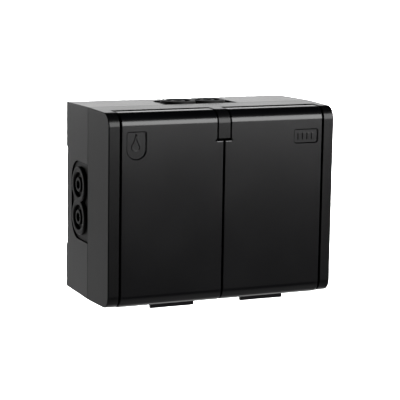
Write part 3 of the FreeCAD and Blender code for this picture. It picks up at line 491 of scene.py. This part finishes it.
def makeDropRelief(look):
    work = bmesh.new()
    bmesh.ops.create_circle(work, cap_ends=True, radius=look["dropRadius"],
                            segments=look["dropSteps"])
    for vert in work.verts:
        upward = max(0.0, vert.co.y / look["dropRadius"])
        vert.co.y += look["dropPull"] * upward ** look["dropTip"]
        vert.co.x *= 1 - look["dropNarrowing"] * upward ** 2
    bmesh.ops.inset_individual(work, faces=work.faces[:], thickness=look["dropInset"],
                               use_even_offset=True)
    outline = [face for face in work.faces if len(face.verts) == 4]
    core = [face for face in work.faces if len(face.verts) > 4]
    bmesh.ops.delete(work, geom=core, context="FACES")
    raiseRelief(work, outline, look)
    placeRelief(work, look, look["dropPlace"], "lid_left.drop", "lid_left_body")


def makeBarRelief(look):
    work = bmesh.new()
    for number in range(look["barCount"]):
        across = (number - (look["barCount"] - 1) / 2) * look["barSpacing"]
        bar = bmesh.ops.create_grid(work, x_segments=1, y_segments=1, size=0.5)["verts"]
        bmesh.ops.scale(work, verts=bar, vec=(*look["barSize"], 1))
        bmesh.ops.translate(work, verts=bar, vec=(across, 0, 0))
    raiseRelief(work, work.faces[:], look)
    placeRelief(work, look, look["barPlace"], "lid_right.bars", "lid_right_body")


makeDropRelief(relief)
makeBarRelief(relief)
print("sign places filled: 2")


# Screws with cut threads and slotted heads.

screws = {
    "steps": 28, "threadDepth": 0.22, "pitch": 0.8, "crestShare": 0.45, "neckShare": 0.4,
    "tip": 0.6, "tipShare": 0.7, "slotWidth": 0.8, "slotDepth": 0.7, "edge": 0.22,
    "edgeSteps": 2,
    "cover": {"radius": 1.5, "length": 15.7, "head": 3.0, "rise": 1.9,
              "across": 46, "out": 43.2, "up": 25},
    "terminal": {"radius": 1.4, "length": 5.0, "head": 2.3, "rise": 1.8,
                 "across": 9.5, "out": 19.8, "up": 13.3, "earthOut": 25.2, "earthUp": 7},
    "pot": {"radius": 1.6, "length": 13.0, "head": 3.0, "rise": 1.6, "out": 27.4},
}


def screwProfile(look, kind):
    length, radius, pitch = kind["length"], kind["radius"], look["pitch"]
    root = radius - look["threadDepth"]
    height = -length + look["tip"]
    points = [(0, -length), (root * look["tipShare"], -length), (root, height)]
    while height < -pitch * 2:
        points += [(radius, height + pitch * look["crestShare"]), (root, height + pitch)]
        height += pitch
    seatTop = kind["rise"] - look["slotDepth"]
    return points + [(radius, -pitch * look["neckShare"]), (radius, 0), (kind["head"], 0),
                     (kind["head"], seatTop), (0, seatTop)]


def addHeadHalf(piece, look, kind, side):
    # what stands on one side of the slot
    half = bmesh.new()
    bmesh.ops.create_circle(half, cap_ends=True, radius=kind["head"],
                            segments=look["steps"] * 2)
    bmesh.ops.bisect_plane(half, geom=everything(half),
                           plane_co=(0, side * look["slotWidth"] / 2, 0),
                           plane_no=(0, side, 0), clear_inner=True)
    raised = bmesh.ops.extrude_face_region(half, geom=half.faces[:], use_keep_orig=True)
    bmesh.ops.translate(half, verts=half.verts, vec=(0, 0, kind["rise"] - look["slotDepth"]))
    bmesh.ops.translate(half, verts=vertsOf(raised["geom"]), vec=(0, 0, look["slotDepth"]))
    rim = [edge for edge in half.edges if len(edge.link_faces) == 2
           and all(vert.co.z > kind["rise"] - tiny for vert in edge.verts)]
    bevelEdges(half, rim, look["edge"], look["edgeSteps"])
    bmesh.ops.recalc_face_normals(half, faces=half.faces)
    joinMeshes(piece, half)


def addScrew(work, look, kind, across, out, up):
    piece = bmesh.new()
    spinProfile(piece, screwProfile(look, kind), look["steps"])
    for side in (-1, 1):
        addHeadHalf(piece, look, kind, side)
    bmesh.ops.transform(piece, matrix=Matrix.Translation((across, -out, up)) @ standUp,
                        verts=piece.verts)
    joinMeshes(work, piece)


def finishScrews(work, name):
    placePiece(work, Matrix())
    finishPiece(work, name + ".thread", "screw_steel", "housing", name)


def placeScrews(look):
    coverKind, terminalKind, potKind = look["cover"], look["terminal"], look["pot"]
    cover = bmesh.new()
    terminal = bmesh.new()
    for side, name in ((-1, "pot_screw_left"), (1, "pot_screw_right")):
        middle = side * socketAcross
        for end in (-1, 1):
            addScrew(cover, look, coverKind, side * coverKind["across"], coverKind["out"],
                     end * coverKind["up"])
            addScrew(terminal, look, terminalKind, middle + end * terminalKind["across"],
                     terminalKind["out"], -end * terminalKind["up"])
        pot = bmesh.new()
        addScrew(pot, look, potKind, middle, potKind["out"], 0)
        finishScrews(pot, name)
    addScrew(terminal, look, terminalKind, 0, terminalKind["earthOut"],
             terminalKind["earthUp"])
    finishScrews(cover, "cover_screws")
    finishScrews(terminal, "terminal_screws")


placeScrews(screws)
print("screws modelled: 11")


# Torsion springs, wound from round wire. The back leg is shorter than in the CAD model,
# where it runs into the rear wall of a lid that is wide open.

spring = {
    "wire": 0.35, "radius": 2.0, "pitch": 1.6, "turns": 3, "stepsPerTurn": 28, "sides": 12,
    "backLeg": 2.0, "frontLeg": 4.3, "out": 47.0, "height": 38.5,
    "leftEnd": -20.0, "rightEnd": 24.8,
}


def addLeg(work, ring, reach):
    loop = [edge for edge in work.edges if edge.is_boundary
            and all(vert in ring for vert in edge.verts)]
    grown = bmesh.ops.extrude_edge_only(work, edges=loop)["geom"]
    verts = vertsOf(grown)
    bmesh.ops.translate(work, verts=verts, vec=(0, reach, 0))
    bmesh.ops.edgeloop_fill(work, edges=[item for item in grown
                                         if isinstance(item, bmesh.types.BMEdge)
                                         and all(vert in verts for vert in item.verts)])


def makeSpring(look, name, across):
    work = bmesh.new()
    ring = bmesh.ops.create_circle(work, radius=look["wire"], segments=look["sides"])["verts"]
    bmesh.ops.rotate(work, verts=ring, cent=(0, 0, 0), matrix=standUp.to_3x3())
    bmesh.ops.translate(work, verts=ring, vec=(look["radius"], 0, 0))
    steps = look["turns"] * look["stepsPerTurn"]
    wound = bmesh.ops.spin(work, geom=ring + work.edges[:], cent=(0, 0, 0), axis=(0, 0, 1),
                           dvec=(0, 0, look["pitch"] * look["turns"] / steps),
                           angle=2 * math.pi * look["turns"], steps=steps)
    addLeg(work, ring, -look["backLeg"])
    addLeg(work, vertsOf(wound["geom_last"]), look["frontLeg"])
    turn = Matrix(((0, 0, -1, 0), (0, -1, 0, 0), (-1, 0, 0, 0), (0, 0, 0, 1)))
    placePiece(work, placeAt(across, -look["out"], look["height"]) @ turn)
    finishPiece(work, name + ".coil", "spring_steel", "housing", name)


makeSpring(spring, "lid_spring_left", spring["leftEnd"])
makeSpring(spring, "lid_spring_right", spring["rightEnd"])
print("springs wound: 2")


# Ring seals of the lids, with a soft lip towards the well.

seal = {
    "middle": 21.0, "width": 2.4, "rise": 2.6, "ribWidth": 1.24, "ribBite": 1.0,
    "back": 46.8, "steps": 96, "lip": 0.45, "lipSteps": 4,
}


def makeSeal(look, name, side, body):
    work = bmesh.new()
    middle, rise = look["middle"], look["rise"]
    inner, outer = middle - look["width"] / 2, middle + look["width"] / 2
    ribIn, ribOut = middle - look["ribWidth"] / 2, middle + look["ribWidth"] / 2
    floor = rise - look["ribBite"]
    spinProfile(work, [(inner, 0), (outer, 0), (outer, rise), (ribOut, rise), (ribOut, floor),
                       (ribIn, floor), (ribIn, rise), (inner, rise)], look["steps"])
    softenEdges(work, look["lip"], look["lipSteps"],
                lambda edge: abs(edge.verts[0].co.z) < tiny)
    placePiece(work, placeAt(side * socketAcross, -look["back"], 0) @ standUp)
    finishPiece(work, name + ".ring", "seal_rubber", body, name)


makeSeal(seal, "lid_seal_left", -1, "lid_left_body")
makeSeal(seal, "lid_seal_right", 1, "lid_right_body")
print("lid seals modelled: 2")


# The remaining CAD nodes, dressed.

modelled = {"entry_left", "entry_right", "entry_top", "cover_screws", "terminal_screws",
            "pot_screw_left", "pot_screw_right", "lid_spring_left", "lid_spring_right",
            "lid_seal_left", "lid_seal_right"}
nodeSlots = {part["node"]: part["material_slot"] for part in frame["record"]["subparts"]}
for nodeName, slotName in nodeSlots.items():
    if nodeName not in modelled:
        dressNode(nodeName, slotName)
print("nodes dressed:", len(nodeSlots) - len(modelled))


# Paper floor under and behind the part.

paper = {
    "drop": 1.2, "width": 30.0, "near": -12.0, "far": 12.0, "colour": (0.5, 0.5, 0.5),
    "lighter": 1.02, "grainScale": 3, "grainDetail": 3.0, "rough": 0.9,
}


def makeFloor(look):
    mesh = bpy.data.meshes.new("floor")
    work = bmesh.new()
    bmesh.ops.create_grid(work, x_segments=1, y_segments=1, size=0.5)
    depth = look["far"] - look["near"]
    bmesh.ops.scale(work, verts=work.verts, vec=(look["width"], depth, 1))
    bmesh.ops.translate(work, verts=work.verts,
                        vec=(0, look["near"] + depth / 2, -look["drop"]))
    work.to_mesh(mesh)
    work.free()
    floor = bpy.data.objects.new("floor", mesh)
    bpy.context.scene.collection.objects.link(floor)
    material, tree, shader, place = startMaterial("floorPaper")
    grain = addNoise(tree, place, look["grainScale"], look["grainDetail"])
    pale = look["colour"]
    blendColours(tree, grain, pale, tuple(channel * look["lighter"] for channel in pale),
                 shader.inputs["Base Color"])
    shader.inputs["Roughness"].default_value = look["rough"]
    mesh.materials.append(material)


# Softboxes. The back one lights the paper behind, the low one the undersides.

softboxes = {
    "frontBox": {"radiance": 6.9, "size": (1.3, 0.98), "place": (0.76, -1.21, 0.43),
                 "target": (0.0, 0.0, 0.0), "spread": 180.0},
    "backBox": {"radiance": 13.0, "size": (6.4, 11.0), "place": (3.9, 9.6, 4.6),
                "target": (3.9, 9.6, 0.0), "spread": 50.0},
    "sideBox": {"radiance": 0.37, "size": (2.6, 1.7), "place": (-1.3, 2.73, -0.3),
                "target": (0.0, 0.0, 0.0), "spread": 180.0},
    "lowBox": {"radiance": 1.0, "size": (3.0, 2.2), "place": (0.3, 1.45, -1.15),
               "target": (0.3, 1.45, 5.0), "spread": 180.0},
}


def addSoftbox(name, look):
    light = bpy.data.lights.new(name, "AREA")
    light.shape = "RECTANGLE"
    light.size, light.size_y = look["size"]
    light.spread = math.radians(look["spread"])
    light.energy = look["radiance"] * math.pi * look["size"][0] * look["size"][1]
    lamp = bpy.data.objects.new(name, light)
    bpy.context.scene.collection.objects.link(lamp)
    direction = Vector(look["target"]) - Vector(look["place"])
    lamp.matrix_world = Matrix.Translation(look["place"]) @ direction.to_track_quat(
        "-Z", "Y").to_matrix().to_4x4()


# Studio light all round: it fades upwards, towards the front and to the left.

studio = {
    "fadeUp": (0.18, 0.5), "depthSpan": (-0.1, 0.4), "sideSpan": (-0.25, 0.25),
    "backLevel": 1.35, "frontLevel": 0.08, "leftShare": 0.42,
}


def addFade(tree, source, span, levels):
    fade = tree.nodes.new("ShaderNodeMapRange")
    fade.interpolation_type = "SMOOTHSTEP"
    for end, value in zip(("From Min", "From Max", "To Min", "To Max"), (*span, *levels)):
        fade.inputs[end].default_value = value
    tree.links.new(source, fade.inputs["Value"])
    return fade.outputs["Result"]


def multiply(tree, first, second):
    product = tree.nodes.new("ShaderNodeMath")
    product.operation = "MULTIPLY"
    tree.links.new(first, product.inputs[0])
    tree.links.new(second, product.inputs[1])
    return product.outputs["Value"]


def makeWorld(look):
    world = bpy.data.worlds.new("studio")
    bpy.context.scene.world = world
    world.use_nodes = True
    tree = world.node_tree
    place = tree.nodes.new("ShaderNodeTexCoord")
    split = tree.nodes.new("ShaderNodeSeparateXYZ")
    tree.links.new(place.outputs["Generated"], split.inputs["Vector"])
    height = addFade(tree, split.outputs["Z"], look["fadeUp"], (1.0, 0.0))
    depth = addFade(tree, split.outputs["Y"], look["depthSpan"],
                    (look["frontLevel"], look["backLevel"]))
    side = addFade(tree, split.outputs["X"], look["sideSpan"], (look["leftShare"], 1.0))
    level = multiply(tree, multiply(tree, height, side), depth)
    background = tree.nodes["Background"]
    background.inputs["Color"].default_value = (1, 1, 1, 1)
    tree.links.new(level, background.inputs["Strength"])


# Camera, fitted to the corners of the box.

view = {
    "place": (-0.31049, -0.7121, 0.12363), "azimuth": -24.424, "elevation": 9.435,
    "roll": 0.876, "lens": 147.25, "sensor": 36, "near": 0.01,
}


def makeCamera(look):
    data = bpy.data.cameras.new("camera")
    data.sensor_width = look["sensor"]
    data.lens = look["lens"]
    data.clip_start = look["near"]
    camera = bpy.data.objects.new("camera", data)
    bpy.context.scene.collection.objects.link(camera)
    azimuth = math.radians(look["azimuth"])
    elevation = math.radians(look["elevation"])
    back = Vector((math.sin(azimuth) * math.cos(elevation),
                   -math.cos(azimuth) * math.cos(elevation), math.sin(elevation)))
    right = (-back).cross(Vector((0, 0, 1))).normalized()
    up = right.cross(-back)
    turn = Matrix((right, up, back)).transposed() @ Matrix.Rotation(
        math.radians(look["roll"]), 3, "Z")
    camera.matrix_world = Matrix.Translation(look["place"]) @ turn.to_4x4()
    bpy.context.scene.camera = camera


makeFloor(paper)
makeWorld(studio)
for boxName, boxLook in softboxes.items():
    addSoftbox(boxName, boxLook)
makeCamera(view)
bpy.context.scene.view_settings.view_transform = "Standard"
print("stage set")
